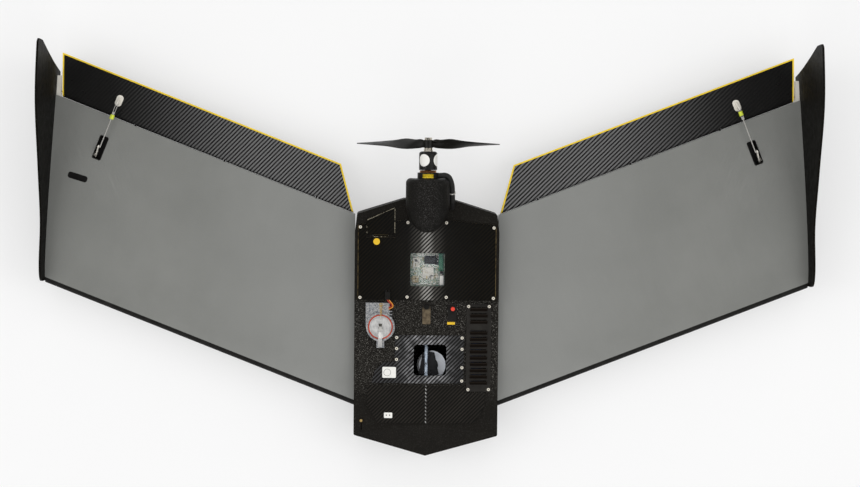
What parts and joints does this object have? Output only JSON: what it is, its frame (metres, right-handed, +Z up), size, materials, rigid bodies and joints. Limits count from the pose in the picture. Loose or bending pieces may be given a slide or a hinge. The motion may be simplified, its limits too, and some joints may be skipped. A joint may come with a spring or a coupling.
{
  "type": "fixed wing drone",
  "caption": "Swept flying-wing survey drone with upright winglets, hinged elevons worked by pushrods, a flat-bellied equipment body and a pusher propeller on a rear pod.",
  "frame": {"origin": "centre of the flat belly, on the centreline, where the drone rests", "axes": "+X towards the drone's own left wing tip, -Y towards its nose, +Z up"},
  "size_m": [1.1286, 0.6054, 0.1955],
  "materials": {
    "battery_wrap": "satin",
    "black_plastic": "satin",
    "black_sleeve": "matte",
    "brass_pin": "polished",
    "camera_black": "satin",
    "carbon_dark": "satin",
    "carbon_elevon": "gloss",
    "carbon_panel": "satin",
    "carbon_ribbed": "gloss",
    "carbon_tube": "satin",
    "carbon_winglet": "gloss",
    "circuit_board": "satin",
    "clear_window": "gloss",
    "copper_stator": "satin",
    "edge_strip": "matte",
    "foam_pod": "matte",
    "foam_shell": "matte",
    "lead_orange": "satin",
    "lead_yellow": "satin",
    "motor_black": "satin",
    "pale_grey_plastic": "satin",
    "propeller_black": "satin",
    "red_plastic": "gloss",
    "servo_case": "satin",
    "silver_brushed": "satin",
    "silver_cast": "satin",
    "silver_turned": "polished",
    "steel": "satin",
    "tan_strip": "satin",
    "white_plastic": "satin",
    "wing_film": "satin",
    "yellow_tape": "satin"
  },
  "bodies": {
    "airframe": {"autopilot_board": "circuit_board", "battery_packs": "battery_wrap", "belly_hull": "foam_shell", "belly_window": "clear_window", "button_plate": "black_plastic", "camera_body": "camera_black", "camera_cradle": "pale_grey_plastic", "camera_hatch": "carbon_ribbed", "camera_window": "clear_window", "deck_screws": "steel", "electronics_window": "clear_window", "equipment_tray": "carbon_panel", "front_hatch": "carbon_dark", "gps_receiver": "white_plastic", "hinge_lugs": "white_plastic", "hinge_pins": "steel", "hook_pin": "brass_pin", "latch_strip": "tan_strip", "lead_sleeve": "black_sleeve", "leading_edge_strips": "edge_strip", "left_servo": "servo_case", "left_wing_panel": "wing_film", "left_winglet": "carbon_winglet", "motor_leads": "lead_yellow", "motor_mount": "black_plastic", "motor_pod": "foam_pod", "motor_stator": "copper_stator", "power_lead": "lead_orange", "power_plug": "black_plastic", "radio_modem": "black_plastic", "rear_hatch": "carbon_panel", "release_plate": "silver_cast", "right_servo": "servo_case", "right_wing_panel": "wing_film", "right_winglet": "carbon_winglet", "servo_liners": "black_plastic", "speed_controller": "battery_wrap", "top_deck": "foam_shell", "vent_plate": "black_plastic", "wing_spars": "carbon_tube", "winglet_screws": "steel"},
    "access_flap": {"access_flap": "carbon_dark"},
    "release_dial": {"release_dial": "silver_brushed"},
    "latch_knob": {"latch_knob": "black_plastic"},
    "launch_button": {"launch_button": "red_plastic"},
    "rotor": {"motor_bell": "motor_black", "motor_shaft": "steel", "prop_collet": "silver_turned", "propeller": "propeller_black", "prop_nut": "silver_turned"},
    "left_elevon": {"left_elevon": "carbon_elevon", "left_elevon_tape": "yellow_tape", "left_control_horn": "white_plastic"},
    "left_servo_arm": {"left_servo_arm": "white_plastic"},
    "left_pushrod": {"left_pushrod": "steel"},
    "right_elevon": {"right_elevon": "carbon_elevon", "right_elevon_tape": "yellow_tape", "right_control_horn": "white_plastic"},
    "right_servo_arm": {"right_servo_arm": "white_plastic"},
    "right_pushrod": {"right_pushrod": "steel"}
  },
  "joints": [
    {"name": "propeller_spin", "type": "hinge", "parent": "airframe", "child": "rotor", "pos_m": [0, 0.2175, 0.105], "axis": [0, 1, 0], "continuous": true},
    {"name": "left_elevon_hinge", "type": "hinge", "parent": "airframe", "child": "left_elevon", "pos_m": [0.27941, 0.22982, 0.038], "axis": [0.9314, 0.3641, 0], "range_deg": [-25, 25]},
    {"name": "left_servo_turn", "type": "hinge", "parent": "airframe", "child": "left_servo_arm", "pos_m": [0.48242, 0.23648, 0.041], "axis": [0.9314, 0.3641, 0], "range_deg": [-25, 25]},
    {"name": "left_pushrod_swing", "type": "hinge", "parent": "left_servo_arm", "child": "left_pushrod", "pos_m": [0.47732, 0.24952, 0.06], "axis": [0.9314, 0.3641, 0], "range_deg": [-25, 25]},
    {"name": "right_elevon_hinge", "type": "hinge", "parent": "airframe", "child": "right_elevon", "pos_m": [-0.27941, 0.22982, 0.038], "axis": [0.9314, -0.3641, 0], "range_deg": [-25, 25]},
    {"name": "right_servo_turn", "type": "hinge", "parent": "airframe", "child": "right_servo_arm", "pos_m": [-0.48242, 0.23648, 0.041], "axis": [0.9314, -0.3641, 0], "range_deg": [-25, 25]},
    {"name": "right_pushrod_swing", "type": "hinge", "parent": "right_servo_arm", "child": "right_pushrod", "pos_m": [-0.47732, 0.24952, 0.06], "axis": [0.9314, -0.3641, 0], "range_deg": [-25, 25]},
    {"name": "flap_hinge", "type": "hinge", "parent": "airframe", "child": "access_flap", "pos_m": [-0.06725, 0.1243, 0.0778], "axis": [1, 0, 0], "range_deg": [0, 100]},
    {"name": "release_turn", "type": "hinge", "parent": "airframe", "child": "release_dial", "pos_m": [-0.06673, -0.0085, 0.07414], "axis": [-0.0698, 0, 0.9976], "range_deg": [-75, 75]},
    {"name": "latch_turn", "type": "hinge", "parent": "airframe", "child": "latch_knob", "pos_m": [0, 0.0215, 0.0772], "axis": [0, 0, 1], "range_deg": [0, 90]},
    {"name": "button_press", "type": "slide", "parent": "airframe", "child": "launch_button", "axis": [-0.0698, 0, -0.9976], "range_m": [0, 0.0016], "stiffness_N_per_m": 200, "springref_m": -0.001}
  ],
  "couplings": [
    {"joint": "left_servo_turn", "follows": "left_elevon_hinge", "ratio": 1},
    {"joint": "left_pushrod_swing", "follows": "left_elevon_hinge", "ratio": -1},
    {"joint": "right_servo_turn", "follows": "right_elevon_hinge", "ratio": 1},
    {"joint": "right_pushrod_swing", "follows": "right_elevon_hinge", "ratio": -1}
  ]
}
